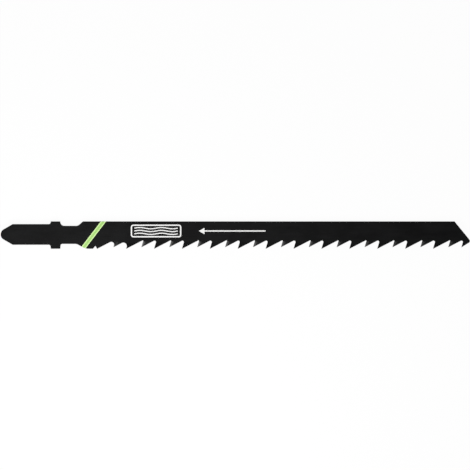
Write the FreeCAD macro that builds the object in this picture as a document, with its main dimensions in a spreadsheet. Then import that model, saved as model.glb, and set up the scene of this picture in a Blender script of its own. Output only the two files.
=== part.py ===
import FreeCAD, Part
import os
import re

import Sketcher

# Jigsaw blade with a T shank, stamped from one strip of hard steel.
# It lies flat. X runs along the blade, from the shank to the front point. Y runs across it: the straight
# back edge is on +Y and the teeth are on -Y. Z is the thickness, with the strip's lower face at Z = 0.
# X = 0 is at the foot of the lugs' front side, the shoulder that takes the pull of the cut. Y = 0 is halfway
# between the back edge and the long tips. Sizes are in millimetres and degrees.

SIZES = (
    ("overall_length", 132.0, "end of the tail to the front point"),
    ("strip_thickness", 1.25, "thickness of the strip"),
    ("strip_width", 7.7, "back edge to the long tips"),
    ("tail_length", 13.98, "end of the tail to the foot of the lugs"),
    ("tail_width", 5.82, "width of the tail"),
    ("tail_offset", 0.18, "centre of the tail, towards the back edge"),
    ("tail_taper", 30.0, "angle of the tail's tapered end to its axis"),
    ("nose_radius", 1.65, "round at the end of the tail"),
    ("tail_fillet", 0.5, "fillets where the lugs leave the tail"),
    ("lug_length", 2.65, "length of the lugs at their outer ends"),
    ("lug_slope", 0.15, "how far each side of a lug leans"),
    ("lug_span", 7.7, "width over both lugs"),
    ("lug_corner", 0.1, "rounds of the lugs' outer corners"),
    ("neck_width", 5.09, "width of the neck"),
    ("neck_offset", 0.06, "centre of the neck, towards the back edge"),
    ("neck_back_fillet", 1.1, "fillet from the lug to the neck, on the back edge's side"),
    ("neck_heel_fillet", 0.45, "fillet from the lug to the neck, on the teeth's side"),
    ("back_start", 6.24, "lugs to the back edge's first corner"),
    ("back_slope", 41.0, "slope from the neck up to the back edge"),
    ("back_fillet", 1.4, "fillet at the foot of that slope"),
    ("heel_start", 6.89, "lugs to the heel's first corner"),
    ("heel_slope", 30.0, "slope from the neck down to the heel"),
    ("heel_fillet", 2.2, "fillet at the neck's end of that slope"),
    ("heel_radius", 4.0, "round at its lower end"),
    ("first_tip", 10.2, "lugs to the tip of the first tooth"),
    ("notch_depth", 0.83, "depth of the notch between the heel and the first tooth"),
    ("notch_heel_run", 0.7, "length of the notch's heel side"),
    ("notch_tooth_run", 0.45, "length of the notch's tooth side"),
    ("notch_radius", 0.14, "round at the root of the notch"),
    ("run_in_pitch", 8.18, "first tip to the next long tip"),
    ("pair_pitch", 7.847, "one long tip to the next"),
    ("short_tip_lag", 4.285, "each long tip to the short tip after it"),
    ("short_tip_drop", 0.447, "how far the short tips stay behind the long ones"),
    ("tip_flat", 0.07, "flat at each tip"),
    ("rake_angle", 16.5, "undercut of the teeth's rake side"),
    ("flank_angle", 27.25, "slope of the teeth's long side"),
    ("first_gullet", 0.78, "root round between the first tooth and the first short one"),
    ("second_gullet", 0.96, "root round between that short tooth and the next long one"),
    ("sharp_gullet", 0.14, "root round before each other short tooth"),
    ("round_gullet", 0.39, "root round before each other long tooth"),
    ("bend_height", 1.7, "long tips to the line at which the teeth are set"),
    ("set_out", 0.35, "how far each tip is set to its side"),
    ("bevel_width", 0.85, "width of the ground bevel behind the rake edge"),
    ("bevel_angle", 30.0, "slope of the ground bevel"),
    ("bevel_run", 1.75, "length of the ground bevel from the tip"),
    ("point_angle", 50.7, "slope of the cut end, from the back edge to the front point"),
    ("point_drop", 5.65, "back edge to the front point"),
    ("point_radius", 0.62, "round of the front point"),
    ("relief_angle", 31.5, "slope from the front point back to the last tooth"),
)

# How far a cutting profile runs past the steel that it takes away.
OVERRUN = 1.0
BEVEL_OVERRUN = 0.05

# How far a tooth's block starts before its tip, in the open gullet.
BLOCK_LEAD = 0.3

# Places along the blade and across it, worked out from the sizes.
LUG_FOOT = "(lug_length + 2 * lug_slope)"
TAIL_END = f"(-{LUG_FOOT} - tail_length)"
POINT_END = f"({TAIL_END} + overall_length)"
BACK_Y = "(strip_width / 2)"
TIP_Y = "(-strip_width / 2)"
SHORT_TIP_Y = f"({TIP_Y} + short_tip_drop)"
BEND_Y = f"({TIP_Y} + bend_height)"
NECK_BACK_Y = "(neck_offset + neck_width / 2)"
NECK_HEEL_Y = "(neck_offset - neck_width / 2)"
BELOW_TIPS_Y = f"({TIP_Y} - {OVERRUN})"

FIRST_LONG = "(first_tip + run_in_pitch)"
FIRST_SHORT = f"({FIRST_LONG} - pair_pitch + short_tip_lag)"
SHORT_BLOCK_START = f"({FIRST_SHORT} - {BLOCK_LEAD})"
LONG_BLOCK_START = f"({FIRST_LONG} - {BLOCK_LEAD})"
LONG_BLOCK_LENGTH = "short_tip_lag"
SHORT_BLOCK_LENGTH = "(pair_pitch - short_tip_lag)"

# The sharp corner that the front point is rounded from.
HALF_OPENING = "((point_angle + relief_angle) / 2 * 1deg)"
HALF_TILT = "((point_angle - relief_angle) / 2 * 1deg)"
CORNER_X = f"({POINT_END} + point_radius * (cos({HALF_TILT}) / sin({HALF_OPENING}) - 1))"
CORNER_Y = f"({BACK_Y} - point_drop)"

PAIRS = f"ceil(({CORNER_X} - {LONG_BLOCK_START}) / pair_pitch)"
BLANK_END = f"({LONG_BLOCK_START} + {PAIRS} * pair_pitch)"

SIZE_NAME = re.compile(r"\b[a-z]+(?:_[a-z]+)+\b")


def tied(words):
    """Return an expression with each size's name pointing at its cell in the sheet."""
    return SIZE_NAME.sub(lambda match: "Sizes." + match.group(0), words)


def fill_sheet(doc):
    """Put the sizes in a spreadsheet, each in a cell with its own alias."""
    sheet = doc.addObject("Spreadsheet::Sheet", "Sizes")
    for row, (alias, value, meaning) in enumerate(SIZES, start=1):
        sheet.set(f"A{row}", alias)
        sheet.set(f"B{row}", str(value))
        sheet.setAlias(f"B{row}", alias)
        sheet.set(f"C{row}", meaning)
    doc.recompute()
    return sheet


def origin_part(body, role):
    """Return the body's own origin plane or axis with this role."""
    return next(part for part in body.Origin.OriginFeatures if part.Role == role)


def new_sketch(body, name, plane):
    """Return an empty sketch on one of the body's origin planes."""
    sketch = body.newObject("Sketcher::SketchObject", name)
    sketch.AttachmentSupport = [(origin_part(body, plane), "")]
    sketch.MapMode = "FlatFace"
    return sketch


def draw_outline(sketch, corners):
    """Draw a closed outline of straight sides. A corner is (x, y) or (x, y, radius), as expressions."""
    places = [(tied(corner[0]), tied(corner[1])) for corner in corners]
    points = [FreeCAD.Vector(sketch.evalExpression(x), sketch.evalExpression(y), 0) for x, y in places]
    count = len(points)
    sides = []
    for index in range(count):
        side = Part.LineSegment(points[index], points[(index + 1) % count])
        sides.append(sketch.addGeometry(side, False))
    for index in range(count):
        sketch.addConstraint(Sketcher.Constraint("Coincident", sides[index - 1], 2, sides[index], 1))
    for index, (x, y) in enumerate(places):
        for kind, place, value in (("DistanceX", x, points[index].x), ("DistanceY", y, points[index].y)):
            rule = Sketcher.Constraint(kind, -1, 1, sides[index], 1, value)
            sketch.setExpression(f"Constraints[{sketch.addConstraint(rule)}]", place)
    for index, corner in enumerate(corners):
        if len(corner) == 3:
            round_corner(sketch, sides[index - 1], tied(corner[2]))


def round_corner(sketch, side, radius):
    """Round the corner at the end of this side with a tangent arc, and keep the sharp corner as a point."""
    value = sketch.evalExpression(radius)
    before = sketch.GeometryCount
    sketch.fillet(side, 2, value, True, True)
    arc = next(
        index for index in range(before, sketch.GeometryCount) if isinstance(sketch.Geometry[index], Part.ArcOfCircle)
    )
    rule = sketch.addConstraint(Sketcher.Constraint("Radius", arc, value))
    sketch.setExpression(f"Constraints[{rule}]", radius)


def pad(body, name, sketch, length):
    """Pad a sketch along its own normal."""
    feature = body.newObject("PartDesign::Pad", name)
    feature.Profile = sketch
    feature.setExpression("Length", tied(length))
    body.Document.recompute()
    return feature


def cut_through(body, name, sketch):
    """Cut a sketch on the XY plane through the whole thickness, both ways."""
    volume = body.Shape.Volume
    feature = body.newObject("PartDesign::Pocket", name)
    feature.Profile = sketch
    feature.SideType = "Symmetric"
    feature.Type = "ThroughAll"
    body.Document.recompute()
    if not feature.Shape.Volume < volume:
        raise RuntimeError(f"{name} took nothing away")
    return feature


def repeat(body, name, feature, occurrences):
    """Repeat a feature along the blade, once for each pair of teeth."""
    pattern = body.newObject("PartDesign::LinearPattern", name)
    pattern.Originals = [feature]
    pattern.Direction = (origin_part(body, "X_Axis"), [""])
    pattern.Mode = "Spacing"
    pattern.setExpression("Offset", tied("pair_pitch"))
    pattern.setExpression("Occurrences", tied(occurrences))
    body.Tip = pattern
    body.Document.recompute()
    return pattern


def add_strip(body):
    """The flat strip: tail, lugs, neck and body, down to the line at which the teeth are bent."""
    taper_run = "((tail_width / 2) / tan(tail_taper * 1deg))"
    nose_setback = "(nose_radius / sin(tail_taper * 1deg) - nose_radius)"
    tail_tip = f"({TAIL_END} - {nose_setback})"
    lug_back = "(-lug_slope - lug_length)"
    back_rise = f"(({BACK_Y} - {NECK_BACK_Y}) / tan(back_slope * 1deg))"
    heel_fall = f"(({NECK_HEEL_Y} - {TIP_Y}) / tan(heel_slope * 1deg))"
    sketch = new_sketch(body, "strip_outline", "XY_Plane")
    draw_outline(sketch, [
        (tail_tip, "tail_offset", "nose_radius"),
        (f"{tail_tip} + {taper_run}", "tail_offset - tail_width / 2"),
        (f"-{LUG_FOOT}", "tail_offset - tail_width / 2", "tail_fillet"),
        (lug_back, "-lug_span / 2", "lug_corner"),
        ("-lug_slope", "-lug_span / 2", "lug_corner"),
        ("0", NECK_HEEL_Y, "neck_heel_fillet"),
        (f"heel_start - {heel_fall}", NECK_HEEL_Y, "heel_fillet"),
        ("heel_start", TIP_Y, "heel_radius"),
        (SHORT_BLOCK_START, TIP_Y),
        (SHORT_BLOCK_START, BEND_Y),
        (BLANK_END, BEND_Y),
        (BLANK_END, BACK_Y),
        ("back_start", BACK_Y),
        (f"back_start - {back_rise}", NECK_BACK_Y, "back_fillet"),
        ("0", NECK_BACK_Y, "neck_back_fillet"),
        ("-lug_slope", "lug_span / 2", "lug_corner"),
        (lug_back, "lug_span / 2", "lug_corner"),
        (f"-{LUG_FOOT}", "tail_offset + tail_width / 2", "tail_fillet"),
        (f"{tail_tip} + {taper_run}", "tail_offset + tail_width / 2"),
    ])
    return pad(body, "strip", sketch, "strip_thickness")


def add_set_blocks(body, name, start, length, tip_y, set_out, occurrences):
    """The steel that one row of teeth is cut from, bent out of the strip from the bend line to the tips."""
    sketch = new_sketch(body, f"{name}_section", "YZ_Plane")
    sketch.setExpression("AttachmentOffset.Base.z", tied(start))
    draw_outline(sketch, [
        (BEND_Y, "0"),
        (BEND_Y, "strip_thickness"),
        (tip_y, f"strip_thickness + {set_out}"),
        (tip_y, set_out),
    ])
    block = pad(body, f"{name}_block", sketch, length)
    return repeat(body, f"{name}_blocks", block, occurrences)


def gullet_corners(before_x, before_y, after_x, after_y, root_radius):
    """The outline of a gullet, from the flank of the tooth before it to the rake of the tooth after it.

    The flank starts at the back of the first tooth's tip, and the rake at the front of the second one's.
    """
    flank = "tan((90 - flank_angle) * 1deg)"
    rake = "tan(rake_angle * 1deg)"
    flank_x = f"({before_x} + tip_flat)"
    root_y = f"(({after_x} - {flank_x} - {after_y} * {rake} + {before_y} * {flank}) / ({flank} - {rake}))"
    root_x = f"({flank_x} + ({root_y} - {before_y}) * {flank})"
    return [
        (f"{flank_x} + ({BELOW_TIPS_Y} - {before_y}) * {flank}", BELOW_TIPS_Y),
        (f"{after_x} + ({BELOW_TIPS_Y} - {after_y}) * {rake}", BELOW_TIPS_Y),
        (root_x, root_y, root_radius),
    ]


def cut_gullet(body, name, corners):
    """Cut one gullet through the strip."""
    sketch = new_sketch(body, f"{name}_outline", "XY_Plane")
    draw_outline(sketch, corners)
    return cut_through(body, name, sketch)


def cut_teeth(body):
    """The run-in notch and gullets, then the gullets that repeat with each pair of teeth."""
    next_short = f"({FIRST_LONG} + short_tip_lag)"
    next_long = f"({FIRST_LONG} + pair_pitch)"
    cut_gullet(body, "first_gullet", gullet_corners("first_tip", TIP_Y, FIRST_SHORT, SHORT_TIP_Y, "first_gullet"))
    cut_gullet(body, "second_gullet", gullet_corners(FIRST_SHORT, SHORT_TIP_Y, FIRST_LONG, TIP_Y, "second_gullet"))
    sharp = cut_gullet(
        body, "sharp_gullet", gullet_corners(FIRST_LONG, TIP_Y, next_short, SHORT_TIP_Y, "sharp_gullet")
    )
    repeat(body, "sharp_gullets", sharp, PAIRS)
    rounded = cut_gullet(
        body, "round_gullet", gullet_corners(next_short, SHORT_TIP_Y, next_long, TIP_Y, "round_gullet")
    )
    repeat(body, "round_gullets", rounded, PAIRS)


def cut_notch(body):
    """The small notch that parts the first tooth from the heel."""
    root_x = "(first_tip - notch_tooth_run)"
    heel_reach = f"(notch_heel_run * {OVERRUN} / notch_depth)"
    tooth_reach = f"(notch_tooth_run * {OVERRUN} / notch_depth)"
    sketch = new_sketch(body, "notch_outline", "XY_Plane")
    draw_outline(sketch, [
        (f"{root_x} - notch_heel_run - {heel_reach}", BELOW_TIPS_Y),
        (f"first_tip + {tooth_reach}", BELOW_TIPS_Y),
        (root_x, f"{TIP_Y} + notch_depth", "notch_radius"),
    ])
    return cut_through(body, "notch", sketch)


def grind_bevels(body, name, tip_x, tip_y, face_z, side, occurrences):
    """Grind a bevel along the rake edge of each tooth of one row, on its upper (side 1) or lower (-1) face.

    The sketch lies in the bevel's own plane: its y axis runs up the rake, and the plane meets the face of the
    strip along x = 0.
    """
    sketch = new_sketch(body, f"{name}_outline", "XY_Plane")
    sketch.setExpression("AttachmentOffset.Base.x", tied(f"{tip_x} + bevel_width * cos(rake_angle * 1deg)"))
    sketch.setExpression("AttachmentOffset.Base.y", tied(f"{tip_y} - bevel_width * sin(rake_angle * 1deg)"))
    sketch.setExpression("AttachmentOffset.Base.z", tied(face_z))
    turn = "create(<<rotation>>; create(<<vector>>; 0; 0; 1); -rake_angle)"
    tilt = f"create(<<rotation>>; create(<<vector>>; 0; 1; 0); {-side} * bevel_angle)"
    sketch.setExpression("AttachmentOffset.Rotation", tied(f"{turn} * {tilt}"))
    body.Document.recompute()
    reach = f"((bevel_width + {BEVEL_OVERRUN}) / cos(bevel_angle * 1deg))"
    draw_outline(sketch, [
        (f"-{reach}", f"-{OVERRUN}"),
        (str(BEVEL_OVERRUN), f"-{OVERRUN}"),
        (str(BEVEL_OVERRUN), "bevel_run"),
        (f"-{reach}", "bevel_run"),
    ])
    volume = body.Shape.Volume
    bevel = body.newObject("PartDesign::Pocket", name)
    bevel.Profile = sketch
    bevel.Type = "Length"
    bevel.setExpression("Length", tied("strip_thickness"))
    bevel.UseCustomVector = True
    bevel.Direction = FreeCAD.Vector(0, 0, side)
    body.Document.recompute()
    if not bevel.Shape.Volume < volume:
        raise RuntimeError(f"{name} took nothing away")
    return repeat(body, f"{name}s", bevel, occurrences)


def cut_end(body):
    """The slanted front end: down from the back edge to the rounded point, then back to the last tooth."""
    above_y = f"({BACK_Y} + {OVERRUN})"
    clear_x = f"({BLANK_END} + {OVERRUN})"
    sketch = new_sketch(body, "front_end_outline", "XY_Plane")
    draw_outline(sketch, [
        (f"{CORNER_X} - ({above_y} - {CORNER_Y}) / tan(point_angle * 1deg)", above_y),
        (CORNER_X, CORNER_Y, "point_radius"),
        (f"{CORNER_X} - ({CORNER_Y} - {BELOW_TIPS_Y}) / tan(relief_angle * 1deg)", BELOW_TIPS_Y),
        (clear_x, BELOW_TIPS_Y),
        (clear_x, above_y),
    ])
    return cut_through(body, "front_end", sketch)


def build_blade(doc):
    """The whole blade, as one body."""
    body = doc.addObject("PartDesign::Body", "blade")
    body.Label = "blade"
    add_strip(body)
    add_set_blocks(body, "long_tooth", LONG_BLOCK_START, LONG_BLOCK_LENGTH, TIP_Y, "set_out", PAIRS)
    add_set_blocks(
        body, "short_tooth", SHORT_BLOCK_START, SHORT_BLOCK_LENGTH, SHORT_TIP_Y, "(-set_out)", f"{PAIRS} + 1"
    )
    cut_notch(body)
    cut_teeth(body)
    grind_bevels(body, "short_bevel", FIRST_SHORT, SHORT_TIP_Y, "strip_thickness", 1, f"{PAIRS} + 1")
    grind_bevels(body, "long_bevel", FIRST_LONG, TIP_Y, "0", -1, PAIRS)
    cut_end(body)
    return body


def check(doc, body):
    """Stop if any object failed, or if the blade isn't one sound solid."""
    for item in doc.Objects:
        if "Invalid" in item.State or "Error" in item.State:
            raise RuntimeError(f"{item.Name} failed: {item.State}")
    shape = body.Shape
    if shape.isNull() or not shape.isValid():
        raise RuntimeError("the blade's shape isn't valid")
    if len(shape.Solids) != 1:
        raise RuntimeError(f"the blade is {len(shape.Solids)} solids")


def main():
    doc = FreeCAD.newDocument("jigsaw_blade")
    fill_sheet(doc)
    body = build_blade(doc)
    doc.recompute()
    check(doc, body)
    os.makedirs("parts", exist_ok=True)
    body.Shape.exportStep(f"parts/{body.Label}.step")
    box = body.Shape.BoundBox
    print(f"{body.Label}: {box.XLength:.3f} x {box.YLength:.3f} x {box.ZLength:.3f} mm, {len(body.Shape.Faces)} faces")


main()
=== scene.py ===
"""Looks of the jigsaw blade: its blackened and ground steel, its printed marks and its stage."""

import math

import bpy
from bpy.props import FloatProperty, FloatVectorProperty, PointerProperty
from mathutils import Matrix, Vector


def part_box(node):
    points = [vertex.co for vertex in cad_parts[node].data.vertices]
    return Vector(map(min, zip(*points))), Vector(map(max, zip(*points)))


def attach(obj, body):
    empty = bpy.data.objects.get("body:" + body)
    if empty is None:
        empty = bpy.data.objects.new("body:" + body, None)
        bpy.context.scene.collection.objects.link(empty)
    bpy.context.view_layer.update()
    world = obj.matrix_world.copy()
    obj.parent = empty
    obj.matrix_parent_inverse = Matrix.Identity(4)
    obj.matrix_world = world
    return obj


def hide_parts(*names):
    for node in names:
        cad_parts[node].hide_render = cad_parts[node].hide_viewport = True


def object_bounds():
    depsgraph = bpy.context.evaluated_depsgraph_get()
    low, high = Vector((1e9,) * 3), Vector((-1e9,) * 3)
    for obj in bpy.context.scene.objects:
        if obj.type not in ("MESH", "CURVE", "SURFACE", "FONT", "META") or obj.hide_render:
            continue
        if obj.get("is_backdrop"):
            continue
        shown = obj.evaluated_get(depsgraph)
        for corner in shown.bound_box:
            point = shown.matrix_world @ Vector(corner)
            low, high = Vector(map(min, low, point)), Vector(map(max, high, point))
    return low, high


bl_info = {
    "name": "Jigsaw Blade",
    "version": (1, 0, 0),
    "blender": (4, 5, 0),
    "location": "View3D > Sidebar > Jigsaw Blade",
    "description": "Dresses the CAD model of a jigsaw blade in its finishes and sets its stage",
    "category": "Object",
}

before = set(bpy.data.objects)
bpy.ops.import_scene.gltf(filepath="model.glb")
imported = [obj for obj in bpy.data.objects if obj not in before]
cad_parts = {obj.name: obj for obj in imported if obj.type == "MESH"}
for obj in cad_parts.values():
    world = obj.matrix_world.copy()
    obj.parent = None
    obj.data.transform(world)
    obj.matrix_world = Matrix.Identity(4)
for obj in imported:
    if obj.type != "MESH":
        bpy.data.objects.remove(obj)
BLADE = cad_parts["blade"]
CAD_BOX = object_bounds()
LOWEST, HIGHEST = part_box("blade")

MM = 0.001
MERGE_DISTANCE = 0.0000005

# Sizes of the CAD model that the finishes follow, in millimetres and degrees.
STRIP_THICKNESS = 1.25
END_START = 108.0
FIRST_TIP = 10.2
FIRST_SHORT_TIP = 14.818
FIRST_LONG_TIP = 18.38
SHORT_TIP_Y = -3.403
LONG_TIP_Y = -3.85
PAIR_PITCH = 7.847
RAKE_ANGLE = 16.5
BEVEL_WIDTH = 0.85
GULLET_TOP_Y = -1.2
LAST_FLANK_X = 114.7

# Where the bevels' finish changes, in millimetres. RAKE_MARGIN keeps the rake edge itself from
# counting as the end of the tooth before. The bevels are brightest up to BRIGHT_WIDTH behind that
# edge. The first one is darker by FIRST_FADE, which ends over FIRST_BEVEL past its tip. All take a
# painted shade that darkens them up to a place that lies PAINTED_SHADE_REACH past the last flank.
RAKE_MARGIN = 0.02
BRIGHT_WIDTH = 0.05
FIRST_BEVEL = (1.0, 4.0)
FIRST_FADE = 0.7
PAINTED_SHADE_REACH = 12.0

# Parts of a face's normal that tell faces apart: upwards between two values for a bevel, below one
# for a gullet's side and above one for printed faces, across the blade for its back, and along and
# across it for the slanted end.
BEVEL_NORMAL = (0.8, 0.93)
GULLET_NORMAL = 0.05
PRINTED_NORMAL = 0.5
BACK_NORMAL = 0.99
END_NORMAL = (0.6, 0.3)

# Faces that meet below FLAT_ANGLE are one flat face, and below the curve angles one smooth curve.
# Where they meet above EDGE_ANGLE, the edge is broken.
FLAT_ANGLE = math.radians(0.4)
CURVE_ANGLE = math.radians(10.3)
INK_CURVE_ANGLE = math.radians(30.0)
EDGE_ANGLE = math.radians(26.0)

# The stripe's ink in its thin middle and along its heavy sides, as shares of its colour.
THIN_INK = (0.86, 0.92, 0.85)
HEAVY_INK = (1.6, 1.3, 2.1)

# The board mark's corners, and the rise and gap of its grain, as shares of its width. The grain's
# length is a share of the board's, and its line one of the printed lines' width.
BOARD_CORNER = 0.2
GRAIN_RISE = 0.05
GRAIN_GAP = 0.22
GRAIN_LENGTH = 0.86
GRAIN_LINE = 0.8
GRAIN_WAVES = 2
GRAIN_COLUMNS = 32

# The length of the arrow's head, as a share of its width.
ARROW_HEAD = 0.9

# The lamps' places and sizes. Both face a point of the blade in front of its neck.
LIT_POINT = (0.02, 0.0, 0.0)
KEY_PLACE = (0.0, -0.08, 0.115)
KEY_SIZE = (0.13, 0.11)
EDGE_PLACE = (-0.16, -0.03, 0.09)
EDGE_SIZE = (0.12, 0.08)

# The sheet is seen as plain white, apart from the small rest that keeps the blade's shadow.
WHITE = (1.0, 1.0, 1.0)
SHEET_SIZE = 40.0
SEEN_WHITE = 0.96

# The camera looks straight down on the blade, as wide as the photograph.
VIEW_CENTRE = (0.04900, 0.00002)
VIEW_WIDTH = 0.13220
CAMERA_HEIGHT = 3.0
CLIP_END = 100.0


class BladeProperties(bpy.types.PropertyGroup):
    """Sizes and colours of the blade's finishes."""

    edge_round: FloatProperty(
        name="Edge round",
        description="Width of the broken edges",
        default=0.00002,
        min=0.0,
        unit="LENGTH",
    )
    back_round: FloatProperty(
        name="Back round",
        description="Width of the rounds along the back and the slanted end",
        default=0.00016,
        min=0.0,
        unit="LENGTH",
    )
    oxide_color: FloatVectorProperty(
        name="Oxide colour",
        description="Colour of the blackened steel",
        default=(0.0062, 0.0062, 0.0064),
        min=0.0,
        max=1.0,
        subtype="COLOR",
    )
    oxide_roughness: FloatProperty(
        name="Oxide roughness",
        description="Roughness of the blackened steel",
        default=0.46,
        min=0.0,
        max=1.0,
    )
    bevel_color: FloatVectorProperty(
        name="Bevel colour",
        description="Colour of the ground bevels beside the cutting edges",
        default=(0.185, 0.185, 0.183),
        min=0.0,
        max=1.0,
        subtype="COLOR",
    )
    gullet_color: FloatVectorProperty(
        name="Gullet colour",
        description="Colour of the bare steel in the gullets",
        default=(0.34, 0.34, 0.335),
        min=0.0,
        max=1.0,
        subtype="COLOR",
    )


class StripeProperties(bpy.types.PropertyGroup):
    """Size, place and colour of the printed stripe."""

    centre: FloatProperty(
        name="Centre",
        description="Where the stripe crosses the blade's middle",
        default=0.00907,
        unit="LENGTH",
    )
    width: FloatProperty(
        name="Width",
        description="Width of the stripe, square to its length",
        default=0.00117,
        min=0.0,
        unit="LENGTH",
    )
    lean: FloatProperty(
        name="Lean",
        description="How far the stripe leans towards the point",
        default=math.radians(37.5),
        subtype="ANGLE",
    )
    thickness: FloatProperty(
        name="Ink thickness",
        description="How far the ink stands on the steel",
        default=0.00001,
        unit="LENGTH",
    )
    color: FloatVectorProperty(
        name="Ink colour",
        description="Colour of the ink",
        default=(0.42, 0.70, 0.19),
        min=0.0,
        max=1.0,
        subtype="COLOR",
    )


class MarkProperties(bpy.types.PropertyGroup):
    """Size, place and colour of the white marks, a board for timber and an arrow for the stroke."""

    board_centre: FloatVectorProperty(
        name="Board centre",
        description="Middle of the board mark",
        default=(0.0268, 0.00115),
        size=2,
        unit="LENGTH",
    )
    board_length: FloatProperty(
        name="Board length",
        description="Length of the board mark",
        default=0.0142,
        min=0.0,
        unit="LENGTH",
    )
    board_width: FloatProperty(
        name="Board width",
        description="Width of the board mark",
        default=0.0036,
        min=0.0,
        unit="LENGTH",
    )
    arrow_tip: FloatVectorProperty(
        name="Arrow tip",
        description="Point of the arrow mark",
        default=(0.0388, 0.00115),
        size=2,
        unit="LENGTH",
    )
    arrow_length: FloatProperty(
        name="Arrow length",
        description="Length of the arrow mark",
        default=0.0188,
        min=0.0,
        unit="LENGTH",
    )
    arrow_width: FloatProperty(
        name="Arrow width",
        description="Width of the arrow's head",
        default=0.0018,
        min=0.0,
        unit="LENGTH",
    )
    line_width: FloatProperty(
        name="Line width",
        description="Width of the printed lines",
        default=0.00036,
        min=0.0,
        unit="LENGTH",
    )
    thickness: FloatProperty(
        name="Ink thickness",
        description="How far the ink stands on the steel",
        default=0.00001,
        unit="LENGTH",
    )
    color: FloatVectorProperty(
        name="Ink colour",
        description="Colour of the ink",
        default=(0.88, 0.88, 0.87),
        min=0.0,
        max=1.0,
        subtype="COLOR",
    )


class StageProperties(bpy.types.PropertyGroup):
    """Light and floor of the stage."""

    key_power: FloatProperty(
        name="Key light",
        description="Power of the large soft light in front of the teeth",
        default=0.23,
        min=0.0,
        unit="POWER",
    )
    edge_power: FloatProperty(
        name="Edge light",
        description="Power of the low light beyond the tail's end",
        default=0.08,
        min=0.0,
        unit="POWER",
    )
    ceiling_level: FloatProperty(
        name="Ceiling",
        description="Grey level of the ceiling, where the walls are 1",
        default=0.06,
        min=0.0,
        max=1.0,
    )
    floor_color: FloatVectorProperty(
        name="Floor colour",
        description="Colour of the floor",
        default=(0.92, 0.92, 0.92),
        min=0.0,
        max=1.0,
        subtype="COLOR",
    )


class Wire:
    """What a socket gives. Arithmetic on it adds the Math nodes that work the sum out."""

    def __init__(self, maker, socket):
        self.maker = maker
        self.socket = socket

    def math(self, operation, *values):
        """Add a Math node and set or link its sockets in order."""
        return self.maker.node(
            "ShaderNodeMath", {"operation": operation}, dict(enumerate(values))
        )

    def __add__(self, other):
        return self.math("ADD", self, other)

    def __radd__(self, other):
        return self.math("ADD", other, self)

    def __sub__(self, other):
        return self.math("SUBTRACT", self, other)

    def __rsub__(self, other):
        return self.math("SUBTRACT", other, self)

    def __mul__(self, other):
        return self.math("MULTIPLY", self, other)

    def __rmul__(self, other):
        return self.math("MULTIPLY", other, self)

    def __mod__(self, other):
        return self.math("FLOORED_MODULO", self, other)

    def __abs__(self):
        return self.math("ABSOLUTE", self)

    def ramp(self, low, high):
        """0 below low, 1 above high and smooth between them."""
        return self.maker.node(
            "ShaderNodeMapRange",
            {"interpolation_type": "SMOOTHSTEP"},
            {"Value": self, "From Min": low, "From Max": high},
        )


def with_alpha(color):
    """The colour, fully opaque."""
    return (*color, 1.0)


def tinted(color, shares):
    """A colour with each of its three parts changed by its own share."""
    return [part * share for part, share in zip(color, shares)]


class Finish:
    """The nodes of a material or of the sky, with the patterns that all finishes use."""

    def __init__(self, holder):
        holder.use_nodes = True
        self.holder = holder
        self.tree = holder.node_tree
        self.tree.nodes.clear()

    def node(self, kind, settings=None, inputs=None, output=0):
        """Add a node, set it and its sockets, and return one of its outputs."""
        node = self.tree.nodes.new(kind)
        for name, value in (settings or {}).items():
            setattr(node, name, value)
        for name, value in (inputs or {}).items():
            if isinstance(value, Wire):
                self.tree.links.new(value.socket, node.inputs[name])
            else:
                node.inputs[name].default_value = value
        return Wire(self, node.outputs[output]) if node.outputs else None

    def place(self):
        """The point on the object, in millimetres."""
        point = self.node("ShaderNodeTexCoord", output="Object")
        return self.node("ShaderNodeMapping", inputs={"Vector": point, "Scale": (1 / MM,) * 3})

    def part(self, vector, axis):
        """One coordinate of a vector."""
        return self.node("ShaderNodeSeparateXYZ", inputs={"Vector": vector}, output=axis)

    def noise(self, place, scale, detail=2.0, roughness=0.5, turn=0.0):
        """Noise from 0 to 1, with its own number of spots per millimetre along each axis."""
        stretched = self.node(
            "ShaderNodeMapping",
            inputs={"Vector": place, "Rotation": (0.0, 0.0, turn), "Scale": scale},
        )
        return self.node(
            "ShaderNodeTexNoise",
            inputs={"Vector": stretched, "Scale": 1.0, "Detail": detail, "Roughness": roughness},
        )

    def blend(self, factor, first, second):
        """A colour between two others. The sockets go by number, as their names are used twice."""
        first, second = (
            color if isinstance(color, Wire) else with_alpha(color) for color in (first, second)
        )
        return self.node(
            "ShaderNodeMix",
            {"data_type": "RGBA"},
            {"Factor": factor, 6: first, 7: second},
            output=2,
        )

    def bump(self, height, distance, strength):
        """The normal of a fine relief, whose full height is given in metres."""
        return self.node(
            "ShaderNodeBump",
            inputs={"Height": height, "Distance": distance, "Strength": strength},
        )

    def finish(self, sockets):
        """End the material in one Principled shader."""
        shader = self.node("ShaderNodeBsdfPrincipled", inputs=sockets)
        self.node("ShaderNodeOutputMaterial", inputs={"Surface": shader})
        return self.holder


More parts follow.
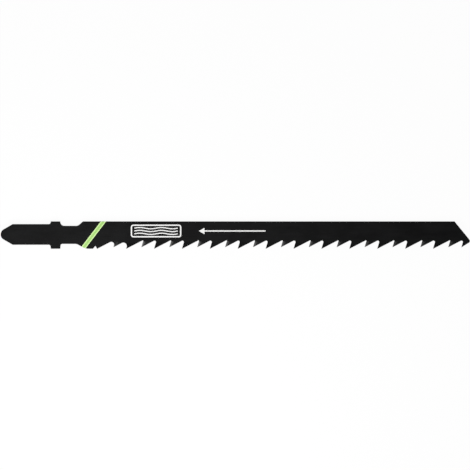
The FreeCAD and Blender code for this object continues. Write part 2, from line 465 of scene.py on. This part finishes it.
def blackened_steel(looks):
    """Rolled strip with black oxide: lines along the blade, soft clouds, a few rubbed scratches."""
    steel = Finish(bpy.data.materials.new("blackened_steel"))
    place = steel.place()
    lines = steel.noise(place, (0.10, 8.0, 8.0), detail=3.0, roughness=0.65)
    clouds = steel.noise(place, (0.20, 0.40, 0.40), detail=3.0, roughness=0.55)
    grains = steel.noise(place, (14.0, 14.0, 14.0))
    streaks = steel.noise(place, (0.35, 16.0, 16.0), detail=1.0, turn=math.radians(5.0))
    scratches = streaks.ramp(0.66, 0.76)
    base = Vector(looks.oxide_color)
    dark, light, rubbed = base * 0.65, base * 1.45, base * 3.0
    tone = steel.blend(clouds.ramp(0.3, 0.7) * 0.5 + lines.ramp(0.3, 0.7) * 0.5, dark, light)
    roughness = looks.oxide_roughness - 0.08 + lines * 0.12 + clouds * 0.08 - scratches * 0.08
    relief = lines * 0.7 + grains * 0.3 - scratches * 0.4
    return steel.finish({
        "Base Color": steel.blend(scratches * 0.4, tone, rubbed),
        "Roughness": roughness,
        "Metallic": 0.0,
        "Specular IOR Level": 0.08,
        "Normal": steel.bump(relief, 0.006 * MM, 0.9),
    })


def ground_bevel(looks):
    """The bevel beside a cutting edge: bright at it, darker behind, and darkened towards the point
    by painted shade.
    """
    steel = Finish(bpy.data.materials.new("ground_bevel"))
    place = steel.place()
    lean = math.tan(math.radians(RAKE_ANGLE))
    along = steel.part(place, "X")
    past_rake = along - FIRST_SHORT_TIP - (steel.part(place, "Y") - SHORT_TIP_Y) * lean
    # Where a bevel looks down, it is on a long tooth, whose rake edge lies further on.
    further = FIRST_LONG_TIP - FIRST_SHORT_TIP + (SHORT_TIP_Y - LONG_TIP_Y) * lean
    upwards = steel.part(steel.node("ShaderNodeTexCoord", output="Normal"), "Z")
    past_rake = past_rake - (1 - upwards.ramp(-0.1, 0.1)) * further
    behind = ((past_rake + RAKE_MARGIN) % PAIR_PITCH).ramp(BRIGHT_WIDTH, BEVEL_WIDTH)
    first_bevel = 1 - along.ramp(*(FIRST_SHORT_TIP + past_tip for past_tip in FIRST_BEVEL))
    fade = 1 - (1 - behind) * (1 - first_bevel * FIRST_FADE)
    # Painted shade: the bevels' colour darkens along the blade towards the point, standing in for
    # the light that falls off there.
    painted_shade_towards_point = along.ramp(FIRST_SHORT_TIP, LAST_FLANK_X + PAINTED_SHADE_REACH)
    lines = steel.noise(place, (11.0, 0.9, 3.0), roughness=0.6, turn=math.radians(-RAKE_ANGLE))
    spots = steel.noise(place, (1.6, 1.6, 1.6))
    base = Vector(looks.bevel_color)
    bright = steel.blend(lines, base * 0.8, base * 1.2)
    bright = steel.blend(painted_shade_towards_point, bright, base * 0.3)
    return steel.finish({
        "Base Color": steel.blend(fade * 0.85 + spots * 0.12, bright, base * 0.1),
        "Roughness": 0.38 + lines * 0.14 + fade * 0.08,
        "Metallic": 0.85,
        "Normal": steel.bump(lines, 0.006 * MM, 0.8),
    })


def ground_gullet(looks):
    """Bare steel in the gullets, with the lines of the wheel across the strip."""
    steel = Finish(bpy.data.materials.new("ground_gullet"))
    place = steel.place()
    lines = steel.noise(place, (13.0, 13.0, 0.5), detail=3.0, roughness=0.6)
    clouds = steel.noise(place, (0.9, 0.9, 0.9))
    base = Vector(looks.gullet_color)
    return steel.finish({
        "Base Color": steel.blend(lines * 0.6 + clouds * 0.4, base * 0.6, base * 1.3),
        "Roughness": 0.3 + lines * 0.14 + clouds * 0.08,
        "Metallic": 0.9,
        "Normal": steel.bump(lines, 0.008 * MM, 0.8),
    })


def stripe_ink(looks):
    """Printed ink: green with a fine grain, thin along the middle and heavy along its sides."""
    ink = Finish(bpy.data.materials.new("green_print"))
    place = ink.place()
    half = looks.width / MM / 2
    across = (ink.part(place, "X") - looks.centre / MM) * math.cos(looks.lean)
    from_middle = abs(across - ink.part(place, "Y") * math.sin(looks.lean))
    side = from_middle.ramp(half * 0.3, half * 0.85)
    grain = ink.noise(place, (6.0, 6.0, 6.0), detail=3.0)
    wear = ink.noise(place, (2.6, 2.6, 2.6), detail=3.0, roughness=0.7).ramp(0.48, 0.7)
    base = Vector(looks.color)
    tone = ink.blend(side, tinted(base, THIN_INK), tinted(base, HEAVY_INK))
    tone = ink.blend(wear * (1 - side) * 0.45, tone, base * 0.55)
    return ink.finish({
        "Base Color": ink.blend(grain * 0.12, tone, base * 0.5),
        "Roughness": 0.38 + grain * 0.14,
        "Normal": ink.bump(grain, 0.004 * MM, 0.7),
    })


def white_ink(looks):
    """Printed ink: white with a fine grain, worn a little thin in spots."""
    ink = Finish(bpy.data.materials.new("white_print"))
    place = ink.place()
    grain = ink.noise(place, (9.0, 9.0, 9.0), detail=3.0)
    wear = ink.noise(place, (3.2, 3.2, 3.2), detail=3.0, roughness=0.7).ramp(0.58, 0.8)
    base = Vector(looks.color)
    tone = ink.blend(grain * 0.15, base, base * 0.7)
    return ink.finish({
        "Base Color": ink.blend(wear * 0.5, tone, base * 0.35),
        "Roughness": 0.42 + grain * 0.14,
        "Normal": ink.bump(grain, 0.004 * MM, 0.7),
    })


def only(piece):
    """Leave edit mode, and make this piece the only one selected and the active one."""
    if bpy.context.mode != "OBJECT":
        bpy.ops.object.mode_set(mode="OBJECT")
    bpy.ops.object.select_all(action="DESELECT")
    piece.select_set(True)
    bpy.context.view_layer.objects.active = piece


def copy_of(node, name):
    """A copy of a CAD node with its own mesh, its loose triangles joined into whole faces."""
    piece = bpy.data.objects.new(name, node.data.copy())
    bpy.context.scene.collection.objects.link(piece)
    only(piece)
    bpy.ops.object.mode_set(mode="EDIT")
    bpy.ops.mesh.select_all(action="SELECT")
    bpy.ops.mesh.remove_doubles(threshold=MERGE_DISTANCE)
    bpy.ops.mesh.dissolve_limited(angle_limit=FLAT_ANGLE)
    bpy.ops.object.mode_set(mode="OBJECT")
    piece.data.materials.clear()
    return piece


def finish_of(face):
    """A face's finish by its number: 0 is blackened, 1 a ground bevel and 2 a gullet's side."""
    upright = abs(face.normal.z)
    x, y, _ = face.center / MM
    if BEVEL_NORMAL[0] < upright < BEVEL_NORMAL[1]:
        return 1
    if upright < GULLET_NORMAL and FIRST_TIP < x < LAST_FLANK_X and y < GULLET_TOP_Y:
        return 2
    return 0


def select_parts(piece, kind, wanted):
    """Select the points, edges or faces that pass a test, and leave the piece in edit mode."""
    only(piece)
    bpy.ops.object.mode_set(mode="EDIT")
    bpy.ops.mesh.select_mode(type=kind)
    bpy.ops.mesh.select_all(action="DESELECT")
    bpy.ops.object.mode_set(mode="OBJECT")
    mesh = piece.data
    for part in {"VERT": mesh.vertices, "EDGE": mesh.edges, "FACE": mesh.polygons}[kind]:
        part.select = wanted(part)
    bpy.ops.object.mode_set(mode="EDIT")


def ends_of(piece, edge):
    """The places of an edge's two ends."""
    return [piece.data.vertices[index].co for index in edge.vertices]


def round_back(piece, width):
    """Round the long edges of the back, where the guide roller runs, and of the slanted end."""
    back = HIGHEST.y - MERGE_DISTANCE
    rounded = set()
    for face in piece.data.polygons:
        normal, centre = face.normal, face.center
        on_back = normal.y > BACK_NORMAL and centre.y > back
        slanted = normal.x > END_NORMAL[0] and normal.y > END_NORMAL[1]
        on_end = slanted and centre.x > END_START * MM
        if on_back or on_end:
            rounded.update(face.edge_keys)

    def is_long(edge):
        first, second = ends_of(piece, edge)
        return edge.key in rounded and abs(first.z - second.z) < MERGE_DISTANCE

    select_parts(piece, "EDGE", is_long)
    bpy.ops.mesh.bevel(offset=width, segments=3)
    bpy.ops.object.mode_set(mode="OBJECT")


def break_edges(piece, width):
    """Round the piece's other sharp edges a little."""
    bevel = piece.modifiers.new("broken edges", "BEVEL")
    bevel.width = width
    bevel.segments = 2
    bevel.limit_method = "ANGLE"
    bevel.angle_limit = EDGE_ANGLE
    bevel.use_clamp_overlap = False
    bevel.harden_normals = True
    only(piece)
    bpy.ops.object.shade_smooth_by_angle(angle=CURVE_ANGLE)
    bpy.ops.object.modifier_apply(modifier=bevel.name)


class FinishBlade(bpy.types.Operator):
    """Give the blade its broken edges, its blackened faces and its ground teeth"""

    bl_idname = "jigsaw_blade.finish_blade"
    bl_label = "Finish Blade"

    def execute(self, context):
        looks = context.scene.blade_looks
        piece = copy_of(BLADE, "finished_blade")
        for finish in (blackened_steel, ground_bevel, ground_gullet):
            piece.data.materials.append(finish(looks))
        for face in piece.data.polygons:
            face.material_index = finish_of(face)
        round_back(piece, looks.back_round)
        break_edges(piece, looks.edge_round)
        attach(piece, "root")
        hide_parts("blade")
        return {"FINISHED"}


def trim(point, normal):
    """Cut the mesh in edit mode with a plane and clear what lies beyond it."""
    bpy.ops.mesh.select_all(action="SELECT")
    bpy.ops.mesh.bisect(
        plane_co=point, plane_no=normal, clear_outer=True, threshold=MERGE_DISTANCE
    )


def ink_on(piece, thickness):
    """Give flat ink a body that stands as far out of the steel as it is sunk in it."""
    ink = piece.modifiers.new("ink", "SOLIDIFY")
    ink.thickness = thickness * 2
    ink.offset = 0.0
    only(piece)
    bpy.ops.object.modifier_apply(modifier=ink.name)
    bpy.ops.object.shade_smooth_by_angle(angle=INK_CURVE_ANGLE)
    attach(piece, "root")


class PrintStripe(bpy.types.Operator):
    """Print the slanted stripe on the blade's upper face, and over the rounds of its edges"""

    bl_idname = "jigsaw_blade.print_stripe"
    bl_label = "Print Stripe"

    def execute(self, context):
        looks = context.scene.stripe_looks
        blade = bpy.data.objects["finished_blade"]
        piece = bpy.data.objects.new("green_stripe", blade.data.copy())
        context.scene.collection.objects.link(piece)
        only(piece)
        bpy.ops.mesh.customdata_custom_splitnormals_clear()
        piece.data.materials.clear()
        side = Vector((math.cos(looks.lean), -math.sin(looks.lean), 0.0))
        middle = Vector((looks.centre, 0.0, 0.0))
        bpy.ops.object.mode_set(mode="EDIT")
        trim(middle + side * looks.width / 2, side)
        trim(middle - side * looks.width / 2, -side)
        bpy.ops.object.mode_set(mode="OBJECT")
        select_parts(piece, "FACE", lambda face: face.normal.z < PRINTED_NORMAL)
        bpy.ops.mesh.delete(type="FACE")
        bpy.ops.object.mode_set(mode="OBJECT")
        if not piece.data.polygons:
            raise RuntimeError("the stripe has no face on the blade's upper side")
        piece.data.materials.append(stripe_ink(looks))
        ink_on(piece, looks.thickness)
        return {"FINISHED"}


def print_place(point):
    """A point of the upper face, where a mark is printed."""
    return (*point, STRIP_THICKNESS * MM)


def print_frame(looks):
    """The board's outline, with rounded corners."""
    place = print_place(looks.board_centre)
    bpy.ops.mesh.primitive_plane_add(size=MM, location=place, enter_editmode=True)
    size = (looks.board_length / MM, looks.board_width / MM, 1.0)
    bpy.ops.transform.resize(value=size)
    bpy.ops.mesh.bevel(offset=looks.board_width * BOARD_CORNER, segments=5, affect="VERTICES")
    bpy.ops.mesh.inset(thickness=looks.line_width)
    bpy.ops.mesh.delete(type="FACE")
    bpy.ops.object.mode_set(mode="OBJECT")
    return bpy.context.object


def print_grain(looks):
    """The board's three wavy lines of grain."""
    bpy.ops.object.select_all(action="DESELECT")
    bpy.ops.mesh.primitive_grid_add(
        x_subdivisions=GRAIN_COLUMNS,
        y_subdivisions=1,
        size=MM,
        location=print_place(looks.board_centre),
    )
    grain = bpy.context.object
    length = looks.board_length * GRAIN_LENGTH
    bpy.ops.object.mode_set(mode="EDIT")
    bpy.ops.transform.resize(value=(length / MM, looks.line_width * GRAIN_LINE / MM, 1.0))
    step = length / GRAIN_COLUMNS
    for column in range(GRAIN_COLUMNS + 1):
        where = step * column - length / 2
        select_parts(grain, "VERT", lambda point: abs(point.co.x - where) < step * 0.4)
        turn = column / GRAIN_COLUMNS * GRAIN_WAVES * 2 * math.pi
        rise = looks.board_width * GRAIN_RISE * math.sin(turn)
        bpy.ops.transform.translate(value=(0.0, rise, 0.0))
    gap = looks.board_width * GRAIN_GAP
    bpy.ops.mesh.select_all(action="SELECT")
    bpy.ops.mesh.duplicate_move(TRANSFORM_OT_translate={"value": (0.0, gap, 0.0)})
    bpy.ops.mesh.duplicate_move(TRANSFORM_OT_translate={"value": (0.0, gap * -2, 0.0)})
    bpy.ops.object.mode_set(mode="OBJECT")
    return grain


def print_arrow(looks):
    """An arrow that points to the shank, the way the teeth cut."""
    head = looks.arrow_width * ARROW_HEAD
    bpy.ops.object.select_all(action="DESELECT")
    bpy.ops.mesh.primitive_circle_add(
        vertices=3, radius=MM, fill_type="NGON", location=print_place(looks.arrow_tip)
    )
    arrow = bpy.context.object
    spot = arrow.location.copy()
    bpy.ops.object.mode_set(mode="EDIT")
    bpy.ops.transform.rotate(value=math.radians(-90.0), orient_axis="Z", center_override=spot)
    bpy.ops.object.mode_set(mode="OBJECT")
    if min(point.co.x for point in arrow.data.vertices) > -MM * 0.9:
        raise RuntimeError("the arrow points the wrong way")
    # The triangle in a circle of radius 1 is 1.5 long and the root of 3 wide.
    size = (head / MM / 1.5, looks.arrow_width / MM / math.sqrt(3.0), 1.0)
    bpy.ops.object.mode_set(mode="EDIT")
    bpy.ops.transform.translate(value=(MM, 0.0, 0.0))
    bpy.ops.transform.resize(value=size, center_override=spot)
    # The head's base is all that lies this far back, and its middle third is this near the shaft.
    back, near = head * 0.9, looks.arrow_width * 0.3

    def is_base(edge):
        return all(end.x > back for end in ends_of(arrow, edge))

    def is_middle(edge):
        return is_base(edge) and all(abs(end.y) < near for end in ends_of(arrow, edge))

    # The base is cut in three, and its middle third is drawn out as the shaft.
    select_parts(arrow, "EDGE", is_base)
    bpy.ops.mesh.subdivide(number_cuts=2)
    bpy.ops.object.mode_set(mode="OBJECT")
    select_parts(arrow, "EDGE", is_middle)
    bpy.ops.transform.resize(value=(1.0, looks.line_width / looks.arrow_width * 3, 1.0))
    shaft = (looks.arrow_length - head, 0.0, 0.0)
    bpy.ops.mesh.extrude_region_move(TRANSFORM_OT_translate={"value": shaft})
    bpy.ops.object.mode_set(mode="OBJECT")
    return arrow


class PrintMarks(bpy.types.Operator):
    """Print the white marks, a board for timber and an arrow for the cutting stroke"""

    bl_idname = "jigsaw_blade.print_marks"
    bl_label = "Print Marks"

    def execute(self, context):
        looks = context.scene.mark_looks
        bpy.ops.object.select_all(action="DESELECT")
        parts = [print_frame(looks), print_grain(looks), print_arrow(looks)]
        piece = parts[0]
        only(piece)
        for part in parts:
            part.select_set(True)
        bpy.ops.object.join()
        piece.name = "white_marks"
        bpy.ops.object.transform_apply()
        bpy.ops.object.mode_set(mode="EDIT")
        bpy.ops.mesh.select_all(action="SELECT")
        bpy.ops.mesh.normals_make_consistent(inside=False)
        bpy.ops.object.mode_set(mode="OBJECT")
        piece.data.materials.append(white_ink(looks))
        ink_on(piece, looks.thickness)
        return {"FINISHED"}


def floor_finish(looks):
    """A white sheet that keeps the blade's shadow."""
    sheet = Finish(bpy.data.materials.new("white_sheet"))
    seen, glossy, through = (
        sheet.node("ShaderNodeLightPath", output=ray)
        for ray in ("Is Camera Ray", "Is Glossy Ray", "Is Transmission Ray")
    )
    seen = sheet.node(
        "ShaderNodeMath", {"operation": "ADD", "use_clamp": True}, {0: seen + glossy, 1: through}
    )
    paper = sheet.node("ShaderNodeBsdfDiffuse", inputs={"Color": with_alpha(looks.floor_color)})
    white = sheet.node("ShaderNodeEmission", inputs={"Color": with_alpha(WHITE), "Strength": 1.0})
    surface = sheet.node("ShaderNodeMixShader", inputs={0: seen * SEEN_WHITE, 1: paper, 2: white})
    sheet.node("ShaderNodeOutputMaterial", inputs={"Surface": surface})
    return sheet.holder


def studio_sky(looks):
    """White walls all round under a dark ceiling."""
    sky = Finish(bpy.data.worlds.new("studio"))
    height = sky.part(sky.node("ShaderNodeTexCoord", output="Generated"), "Z")
    tone = sky.blend(height.ramp(0.2, 0.75), WHITE, (looks.ceiling_level,) * 3)
    light = sky.node("ShaderNodeBackground", inputs={"Color": tone, "Strength": 1.0})
    sky.node("ShaderNodeOutputWorld", inputs={"Surface": light})
    bpy.context.scene.world = sky.holder


def add_lamp(name, place, size, power):
    """A rectangular soft light that faces the lit point."""
    direction = Vector(LIT_POINT) - Vector(place)
    turn = direction.to_track_quat("-Z", "Y").to_euler()
    bpy.ops.object.light_add(type="AREA", location=place, rotation=turn)
    lamp = bpy.context.object
    lamp.name = name
    lamp.data.shape = "RECTANGLE"
    lamp.data.size, lamp.data.size_y = size
    lamp.data.energy = power
    lamp.visible_camera = False


class SetStage(bpy.types.Operator):
    """Lay the blade on a white sheet, light it softly and look straight down on it"""

    bl_idname = "jigsaw_blade.set_stage"
    bl_label = "Set Stage"

    def execute(self, context):
        looks = context.scene.stage_looks
        bpy.ops.object.select_all(action="DESELECT")
        place = (VIEW_CENTRE[0], 0.0, LOWEST.z)
        bpy.ops.mesh.primitive_plane_add(size=SHEET_SIZE, location=place)
        sheet = context.object
        sheet.name = "white_sheet"
        bpy.ops.object.transform_apply(location=True)
        sheet.data.materials.append(floor_finish(looks))
        sheet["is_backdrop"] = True
        studio_sky(looks)
        add_lamp("key_light", KEY_PLACE, KEY_SIZE, looks.key_power)
        add_lamp("edge_light", EDGE_PLACE, EDGE_SIZE, looks.edge_power)
        place = (*VIEW_CENTRE, CAMERA_HEIGHT)
        bpy.ops.object.camera_add(location=place, rotation=(0.0, 0.0, 0.0))
        camera = context.object
        camera.name = "camera"
        camera.data.type = "ORTHO"
        camera.data.ortho_scale = VIEW_WIDTH
        camera.data.clip_end = CLIP_END
        context.scene.camera = camera
        context.scene.view_settings.view_transform = "Standard"
        return {"FINISHED"}


class BladePanel(bpy.types.Panel):
    """The blade's sizes, colours and steps"""

    bl_idname = "VIEW3D_PT_jigsaw_blade"
    bl_label = "Jigsaw Blade"
    bl_space_type = "VIEW_3D"
    bl_region_type = "UI"
    bl_category = "Jigsaw Blade"

    def draw(self, context):
        scene = context.scene
        for looks, operator in (
            (scene.blade_looks, FinishBlade),
            (scene.stripe_looks, PrintStripe),
            (scene.mark_looks, PrintMarks),
            (scene.stage_looks, SetStage),
        ):
            box = self.layout.box()
            for name in looks.__annotations__:
                box.prop(looks, name)
            box.operator(operator.bl_idname)


CLASSES = (
    BladeProperties,
    StripeProperties,
    MarkProperties,
    StageProperties,
    FinishBlade,
    PrintStripe,
    PrintMarks,
    SetStage,
    BladePanel,
)


def register():
    for cls in CLASSES:
        bpy.utils.register_class(cls)
    bpy.types.Scene.blade_looks = PointerProperty(type=BladeProperties)
    bpy.types.Scene.stripe_looks = PointerProperty(type=StripeProperties)
    bpy.types.Scene.mark_looks = PointerProperty(type=MarkProperties)
    bpy.types.Scene.stage_looks = PointerProperty(type=StageProperties)


def unregister():
    del bpy.types.Scene.stage_looks
    del bpy.types.Scene.mark_looks
    del bpy.types.Scene.stripe_looks
    del bpy.types.Scene.blade_looks
    for cls in reversed(CLASSES):
        bpy.utils.unregister_class(cls)


def write_sizes():
    """Put the CAD box and the finished model's box into plain lists."""
    boxes = {"cad": CAD_BOX, "visual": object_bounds()}
    plain = {name: [list(corner) for corner in corners] for name, corners in boxes.items()}


def main():
    register()
    bpy.ops.jigsaw_blade.finish_blade()
    bpy.ops.jigsaw_blade.print_stripe()
    bpy.ops.jigsaw_blade.print_marks()
    bpy.ops.jigsaw_blade.set_stage()
    write_sizes()


if __name__ == "__main__":
    main()
